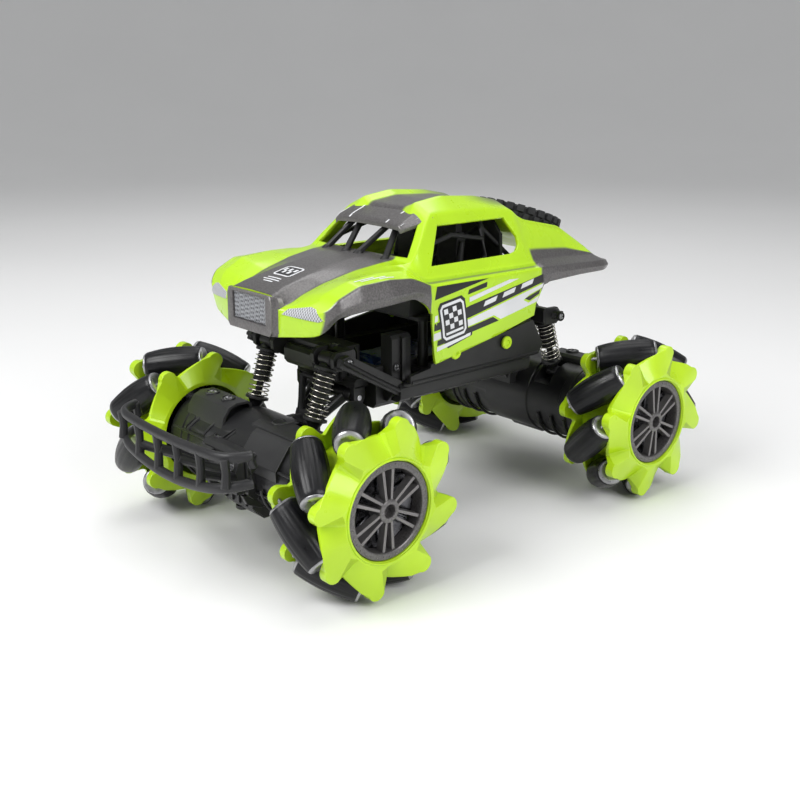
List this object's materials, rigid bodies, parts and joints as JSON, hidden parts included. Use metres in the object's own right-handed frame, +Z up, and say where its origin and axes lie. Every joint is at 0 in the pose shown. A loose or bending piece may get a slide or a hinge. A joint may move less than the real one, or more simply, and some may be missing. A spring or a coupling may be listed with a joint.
{
  "type": "rc stunt car",
  "caption": "Radio-controlled off-road stunt car with a baja body, sprung solid axles and mecanum wheels carrying angled free-spinning barrel rollers.",
  "frame": {"origin": "on the ground, at the centre of the bounding box's bottom face", "axes": "+X towards the car's left side, +Y towards its rear (the front faces -Y), +Z up"},
  "size_m": [0.1896, 0.2999, 0.1706],
  "materials": {
    "body_green": "gloss",
    "hub_green": "satin",
    "gunmetal_paint": "satin",
    "cockpit_black": "matte",
    "chassis_black": "satin",
    "axle_black": "satin",
    "bumper_charcoal": "satin",
    "tyre_rubber": "matte",
    "roller_rubber": "satin",
    "spring_steel": "polished",
    "shock_black": "satin",
    "screw_steel": "satin",
    "lamp_mesh": "satin",
    "roller_ring": "satin",
    "battery_wrap": "gloss",
    "switch_black": "matte"
  },
  "bodies": {
    "chassis": {"body_shell": "body_green", "cockpit": "cockpit_black", "spare_tyre": "tyre_rubber", "chassis_frame": "chassis_black", "battery_pack": "battery_wrap", "battery_cover": "chassis_black"},
    "switch": {"power_switch": "switch_black"},
    "front_arm": {"front_link_arm": "axle_black"},
    "front_axle": {"front_axle_housing": "axle_black", "front_bumper": "bumper_charcoal"},
    "rear_arm": {"rear_link_arm": "axle_black"},
    "rear_axle": {"rear_axle_housing": "axle_black"},
    "wheel_front_left": {"wheel_hub_front_left": "hub_green"},
    "wheel_front_right": {"wheel_hub_front_right": "hub_green"},
    "wheel_rear_left": {"wheel_hub_rear_left": "hub_green"},
    "wheel_rear_right": {"wheel_hub_rear_right": "hub_green"},
    "shock_body_front_left": {"shock_body_front_left": "shock_black"},
    "shock_spring_front_left": {"spring_front_left": "spring_steel"},
    "shock_rod_front_left": {"shock_rod_front_left": "shock_black"},
    "shock_body_front_right": {"shock_body_front_right": "shock_black"},
    "shock_spring_front_right": {"spring_front_right": "spring_steel"},
    "shock_rod_front_right": {"shock_rod_front_right": "shock_black"},
    "shock_body_rear_left": {"shock_body_rear_left": "shock_black"},
    "shock_spring_rear_left": {"spring_rear_left": "spring_steel"},
    "shock_rod_rear_left": {"shock_rod_rear_left": "shock_black"},
    "shock_body_rear_right": {"shock_body_rear_right": "shock_black"},
    "shock_spring_rear_right": {"spring_rear_right": "spring_steel"},
    "shock_rod_rear_right": {"shock_rod_rear_right": "shock_black"},
    "roller_front_left_1": {"roller_front_left_1": "roller_rubber"},
    "roller_front_left_2": {"roller_front_left_2": "roller_rubber"},
    "roller_front_left_3": {"roller_front_left_3": "roller_rubber"},
    "roller_front_left_4": {"roller_front_left_4": "roller_rubber"},
    "roller_front_left_5": {"roller_front_left_5": "roller_rubber"},
    "roller_front_left_6": {"roller_front_left_6": "roller_rubber"},
    "roller_front_left_7": {"roller_front_left_7": "roller_rubber"},
    "roller_front_left_8": {"roller_front_left_8": "roller_rubber"},
    "roller_front_right_1": {"roller_front_right_1": "roller_rubber"},
    "roller_front_right_2": {"roller_front_right_2": "roller_rubber"},
    "roller_front_right_3": {"roller_front_right_3": "roller_rubber"},
    "roller_front_right_4": {"roller_front_right_4": "roller_rubber"},
    "roller_front_right_5": {"roller_front_right_5": "roller_rubber"},
    "roller_front_right_6": {"roller_front_right_6": "roller_rubber"},
    "roller_front_right_7": {"roller_front_right_7": "roller_rubber"},
    "roller_front_right_8": {"roller_front_right_8": "roller_rubber"},
    "roller_rear_left_1": {"roller_rear_left_1": "roller_rubber"},
    "roller_rear_left_2": {"roller_rear_left_2": "roller_rubber"},
    "roller_rear_left_3": {"roller_rear_left_3": "roller_rubber"},
    "roller_rear_left_4": {"roller_rear_left_4": "roller_rubber"},
    "roller_rear_left_5": {"roller_rear_left_5": "roller_rubber"},
    "roller_rear_left_6": {"roller_rear_left_6": "roller_rubber"},
    "roller_rear_left_7": {"roller_rear_left_7": "roller_rubber"},
    "roller_rear_left_8": {"roller_rear_left_8": "roller_rubber"},
    "roller_rear_right_1": {"roller_rear_right_1": "roller_rubber"},
    "roller_rear_right_2": {"roller_rear_right_2": "roller_rubber"},
    "roller_rear_right_3": {"roller_rear_right_3": "roller_rubber"},
    "roller_rear_right_4": {"roller_rear_right_4": "roller_rubber"},
    "roller_rear_right_5": {"roller_rear_right_5": "roller_rubber"},
    "roller_rear_right_6": {"roller_rear_right_6": "roller_rubber"},
    "roller_rear_right_7": {"roller_rear_right_7": "roller_rubber"},
    "roller_rear_right_8": {"roller_rear_right_8": "roller_rubber"}
  },
  "joints": [
    {"name": "front_bump", "type": "hinge", "parent": "chassis", "child": "front_arm", "pos_m": [0, -0.05025, 0.074], "axis": [-1, 0, 0], "range_deg": [-5, 6], "stiffness_Nm_per_rad": 1.2, "springref_deg": -2.58},
    {"name": "rear_bump", "type": "hinge", "parent": "chassis", "child": "rear_arm", "pos_m": [0, 0.06575, 0.074], "axis": [1, 0, 0], "range_deg": [-5, 6], "stiffness_Nm_per_rad": 1.2, "springref_deg": -2.58},
    {"name": "front_roll", "type": "hinge", "parent": "front_arm", "child": "front_axle", "pos_m": [0, -0.06825, 0.058], "axis": [0, 1, 0], "range_deg": [-8, 8], "stiffness_Nm_per_rad": 0.6},
    {"name": "rear_roll", "type": "hinge", "parent": "rear_arm", "child": "rear_axle", "pos_m": [0, 0.08375, 0.058], "axis": [0, 1, 0], "range_deg": [-8, 8], "stiffness_Nm_per_rad": 0.6},
    {"name": "switch_slide", "type": "slide", "parent": "chassis", "child": "switch", "axis": [0, 1, 0], "range_m": [0, 0.0026]},
    {"name": "wheel_front_left_spin", "type": "hinge", "parent": "front_axle", "child": "wheel_front_left", "pos_m": [0.0768, -0.08975, 0.04475], "axis": [1, 0, 0], "continuous": true},
    {"name": "wheel_front_right_spin", "type": "hinge", "parent": "front_axle", "child": "wheel_front_right", "pos_m": [-0.0768, -0.08975, 0.04475], "axis": [1, 0, 0], "continuous": true},
    {"name": "wheel_rear_left_spin", "type": "hinge", "parent": "rear_axle", "child": "wheel_rear_left", "pos_m": [0.0768, 0.10525, 0.04475], "axis": [1, 0, 0], "continuous": true},
    {"name": "wheel_rear_right_spin", "type": "hinge", "parent": "rear_axle", "child": "wheel_rear_right", "pos_m": [-0.0768, 0.10525, 0.04475], "axis": [1, 0, 0], "continuous": true},
    {"name": "shock_front_left_swing", "type": "hinge", "parent": "chassis", "child": "shock_body_front_left", "pos_m": [0.025, -0.06975, 0.098], "axis": [-1, 0, 0], "range_deg": [-2.86, 3.41]},
    {"name": "shock_front_left_stroke", "type": "slide", "parent": "shock_body_front_left", "child": "shock_spring_front_left", "axis": [0, -0.3043, -0.9526], "range_m": [-0.00276, 0.00231], "deforming": ["spring_front_left"]},
    {"name": "shock_front_left_roll_stroke", "type": "slide", "parent": "shock_spring_front_left", "child": "shock_rod_front_left", "axis": [0, -0.3043, -0.9526], "range_m": [-0.00337, 0.00337]},
    {"name": "shock_front_right_swing", "type": "hinge", "parent": "chassis", "child": "shock_body_front_right", "pos_m": [-0.025, -0.06975, 0.098], "axis": [-1, 0, 0], "range_deg": [-2.86, 3.41]},
    {"name": "shock_front_right_stroke", "type": "slide", "parent": "shock_body_front_right", "child": "shock_spring_front_right", "axis": [0, -0.3043, -0.9526], "range_m": [-0.00276, 0.00231], "deforming": ["spring_front_right"]},
    {"name": "shock_front_right_roll_stroke", "type": "slide", "parent": "shock_spring_front_right", "child": "shock_rod_front_right", "axis": [0, -0.3043, -0.9526], "range_m": [-0.00337, 0.00337]},
    {"name": "shock_rear_left_swing", "type": "hinge", "parent": "chassis", "child": "shock_body_rear_left", "pos_m": [0.025, 0.08525, 0.098], "axis": [1, 0, 0], "range_deg": [-2.86, 3.41]},
    {"name": "shock_rear_left_stroke", "type": "slide", "parent": "shock_body_rear_left", "child": "shock_spring_rear_left", "axis": [0, 0.3043, -0.9526], "range_m": [-0.00276, 0.00231], "deforming": ["spring_rear_left"]},
    {"name": "shock_rear_left_roll_stroke", "type": "slide", "parent": "shock_spring_rear_left", "child": "shock_rod_rear_left", "axis": [0, 0.3043, -0.9526], "range_m": [-0.00337, 0.00337]},
    {"name": "shock_rear_right_swing", "type": "hinge", "parent": "chassis", "child": "shock_body_rear_right", "pos_m": [-0.025, 0.08525, 0.098], "axis": [1, 0, 0], "range_deg": [-2.86, 3.41]},
    {"name": "shock_rear_right_stroke", "type": "slide", "parent": "shock_body_rear_right", "child": "shock_spring_rear_right", "axis": [0, 0.3043, -0.9526], "range_m": [-0.00276, 0.00231], "deforming": ["spring_rear_right"]},
    {"name": "shock_rear_right_roll_stroke", "type": "slide", "parent": "shock_spring_rear_right", "child": "shock_rod_rear_right", "axis": [0, 0.3043, -0.9526], "range_m": [-0.00337, 0.00337]},
    {"name": "roller_front_left_1_spin", "type": "hinge", "parent": "wheel_front_left", "child": "roller_front_left_1", "pos_m": [0.07575, -0.0695, 0.07477], "axis": [0.7197, -0.5756, 0.3882], "continuous": true},
    {"name": "roller_front_left_2_spin", "type": "hinge", "parent": "wheel_front_left", "child": "roller_front_left_2", "pos_m": [0.07575, -0.09666, 0.0803], "axis": [0.7197, -0.6815, -0.1325], "continuous": true},
    {"name": "roller_front_left_3_spin", "type": "hinge", "parent": "wheel_front_left", "child": "roller_front_left_3", "pos_m": [0.07575, -0.11977, 0.065], "axis": [0.7197, -0.3882, -0.5756], "continuous": true},
    {"name": "roller_front_left_4_spin", "type": "hinge", "parent": "wheel_front_left", "child": "roller_front_left_4", "pos_m": [0.07575, -0.1253, 0.03784], "axis": [0.7197, 0.1325, -0.6815], "continuous": true},
    {"name": "roller_front_left_5_spin", "type": "hinge", "parent": "wheel_front_left", "child": "roller_front_left_5", "pos_m": [0.07575, -0.11, 0.01473], "axis": [0.7197, 0.5756, -0.3882], "continuous": true},
    {"name": "roller_front_left_6_spin", "type": "hinge", "parent": "wheel_front_left", "child": "roller_front_left_6", "pos_m": [0.07575, -0.08284, 0.0092], "axis": [0.7197, 0.6815, 0.1325], "continuous": true},
    {"name": "roller_front_left_7_spin", "type": "hinge", "parent": "wheel_front_left", "child": "roller_front_left_7", "pos_m": [0.07575, -0.05973, 0.0245], "axis": [0.7197, 0.3882, 0.5756], "continuous": true},
    {"name": "roller_front_left_8_spin", "type": "hinge", "parent": "wheel_front_left", "child": "roller_front_left_8", "pos_m": [0.07575, -0.0542, 0.05166], "axis": [0.7197, -0.1325, 0.6815], "continuous": true},
    {"name": "roller_front_right_1_spin", "type": "hinge", "parent": "wheel_front_right", "child": "roller_front_right_1", "pos_m": [-0.07575, -0.0695, 0.07477], "axis": [-0.7197, -0.5756, 0.3882], "continuous": true},
    {"name": "roller_front_right_2_spin", "type": "hinge", "parent": "wheel_front_right", "child": "roller_front_right_2", "pos_m": [-0.07575, -0.09666, 0.0803], "axis": [-0.7197, -0.6815, -0.1325], "continuous": true},
    {"name": "roller_front_right_3_spin", "type": "hinge", "parent": "wheel_front_right", "child": "roller_front_right_3", "pos_m": [-0.07575, -0.11977, 0.065], "axis": [-0.7197, -0.3882, -0.5756], "continuous": true},
    {"name": "roller_front_right_4_spin", "type": "hinge", "parent": "wheel_front_right", "child": "roller_front_right_4", "pos_m": [-0.07575, -0.1253, 0.03784], "axis": [-0.7197, 0.1325, -0.6815], "continuous": true},
    {"name": "roller_front_right_5_spin", "type": "hinge", "parent": "wheel_front_right", "child": "roller_front_right_5", "pos_m": [-0.07575, -0.11, 0.01473], "axis": [-0.7197, 0.5756, -0.3882], "continuous": true},
    {"name": "roller_front_right_6_spin", "type": "hinge", "parent": "wheel_front_right", "child": "roller_front_right_6", "pos_m": [-0.07575, -0.08284, 0.0092], "axis": [-0.7197, 0.6815, 0.1325], "continuous": true},
    {"name": "roller_front_right_7_spin", "type": "hinge", "parent": "wheel_front_right", "child": "roller_front_right_7", "pos_m": [-0.07575, -0.05973, 0.0245], "axis": [-0.7197, 0.3882, 0.5756], "continuous": true},
    {"name": "roller_front_right_8_spin", "type": "hinge", "parent": "wheel_front_right", "child": "roller_front_right_8", "pos_m": [-0.07575, -0.0542, 0.05166], "axis": [-0.7197, -0.1325, 0.6815], "continuous": true},
    {"name": "roller_rear_left_1_spin", "type": "hinge", "parent": "wheel_rear_left", "child": "roller_rear_left_1", "pos_m": [0.07575, 0.09834, 0.0803], "axis": [0.7197, 0.6815, 0.1325], "continuous": true},
    {"name": "roller_rear_left_2_spin", "type": "hinge", "parent": "wheel_rear_left", "child": "roller_rear_left_2", "pos_m": [0.07575, 0.07523, 0.065], "axis": [0.7197, 0.3882, 0.5756], "continuous": true},
    {"name": "roller_rear_left_3_spin", "type": "hinge", "parent": "wheel_rear_left", "child": "roller_rear_left_3", "pos_m": [0.07575, 0.0697, 0.03784], "axis": [0.7197, -0.1325, 0.6815], "continuous": true},
    {"name": "roller_rear_left_4_spin", "type": "hinge", "parent": "wheel_rear_left", "child": "roller_rear_left_4", "pos_m": [0.07575, 0.085, 0.01473], "axis": [0.7197, -0.5756, 0.3882], "continuous": true},
    {"name": "roller_rear_left_5_spin", "type": "hinge", "parent": "wheel_rear_left", "child": "roller_rear_left_5", "pos_m": [0.07575, 0.11216, 0.0092], "axis": [0.7197, -0.6815, -0.1325], "continuous": true},
    {"name": "roller_rear_left_6_spin", "type": "hinge", "parent": "wheel_rear_left", "child": "roller_rear_left_6", "pos_m": [0.07575, 0.13527, 0.0245], "axis": [0.7197, -0.3882, -0.5756], "continuous": true},
    {"name": "roller_rear_left_7_spin", "type": "hinge", "parent": "wheel_rear_left", "child": "roller_rear_left_7", "pos_m": [0.07575, 0.1408, 0.05166], "axis": [0.7197, 0.1325, -0.6815], "continuous": true},
    {"name": "roller_rear_left_8_spin", "type": "hinge", "parent": "wheel_rear_left", "child": "roller_rear_left_8", "pos_m": [0.07575, 0.1255, 0.07477], "axis": [0.7197, 0.5756, -0.3882], "continuous": true},
    {"name": "roller_rear_right_1_spin", "type": "hinge", "parent": "wheel_rear_right", "child": "roller_rear_right_1", "pos_m": [-0.07575, 0.09834, 0.0803], "axis": [-0.7197, 0.6815, 0.1325], "continuous": true},
    {"name": "roller_rear_right_2_spin", "type": "hinge", "parent": "wheel_rear_right", "child": "roller_rear_right_2", "pos_m": [-0.07575, 0.07523, 0.065], "axis": [-0.7197, 0.3882, 0.5756], "continuous": true},
    {"name": "roller_rear_right_3_spin", "type": "hinge", "parent": "wheel_rear_right", "child": "roller_rear_right_3", "pos_m": [-0.07575, 0.0697, 0.03784], "axis": [-0.7197, -0.1325, 0.6815], "continuous": true},
    {"name": "roller_rear_right_4_spin", "type": "hinge", "parent": "wheel_rear_right", "child": "roller_rear_right_4", "pos_m": [-0.07575, 0.085, 0.01473], "axis": [-0.7197, -0.5756, 0.3882], "continuous": true},
    {"name": "roller_rear_right_5_spin", "type": "hinge", "parent": "wheel_rear_right", "child": "roller_rear_right_5", "pos_m": [-0.07575, 0.11216, 0.0092], "axis": [-0.7197, -0.6815, -0.1325], "continuous": true},
    {"name": "roller_rear_right_6_spin", "type": "hinge", "parent": "wheel_rear_right", "child": "roller_rear_right_6", "pos_m": [-0.07575, 0.13527, 0.0245], "axis": [-0.7197, -0.3882, -0.5756], "continuous": true},
    {"name": "roller_rear_right_7_spin", "type": "hinge", "parent": "wheel_rear_right", "child": "roller_rear_right_7", "pos_m": [-0.07575, 0.1408, 0.05166], "axis": [-0.7197, 0.1325, -0.6815], "continuous": true},
    {"name": "roller_rear_right_8_spin", "type": "hinge", "parent": "wheel_rear_right", "child": "roller_rear_right_8", "pos_m": [-0.07575, 0.1255, 0.07477], "axis": [-0.7197, 0.5756, -0.3882], "continuous": true}
  ],
  "couplings": [
    {"joint": "shock_front_left_swing", "follows": "front_bump", "ratio": 0.55207},
    {"joint": "shock_front_left_stroke", "follows": "front_bump", "m_per_rad": -0.025878},
    {"joint": "shock_front_left_roll_stroke", "follows": "front_roll", "m_per_rad": 0.023814},
    {"joint": "shock_front_right_swing", "follows": "front_bump", "ratio": 0.55207},
    {"joint": "shock_front_right_stroke", "follows": "front_bump", "m_per_rad": -0.025878},
    {"joint": "shock_front_right_roll_stroke", "follows": "front_roll", "m_per_rad": -0.023814},
    {"joint": "shock_rear_left_swing", "follows": "rear_bump", "ratio": 0.55207},
    {"joint": "shock_rear_left_stroke", "follows": "rear_bump", "m_per_rad": -0.025878},
    {"joint": "shock_rear_left_roll_stroke", "follows": "rear_roll", "m_per_rad": 0.023814},
    {"joint": "shock_rear_right_swing", "follows": "rear_bump", "ratio": 0.55207},
    {"joint": "shock_rear_right_stroke", "follows": "rear_bump", "m_per_rad": -0.025878},
    {"joint": "shock_rear_right_roll_stroke", "follows": "rear_roll", "m_per_rad": -0.023814}
  ]
}
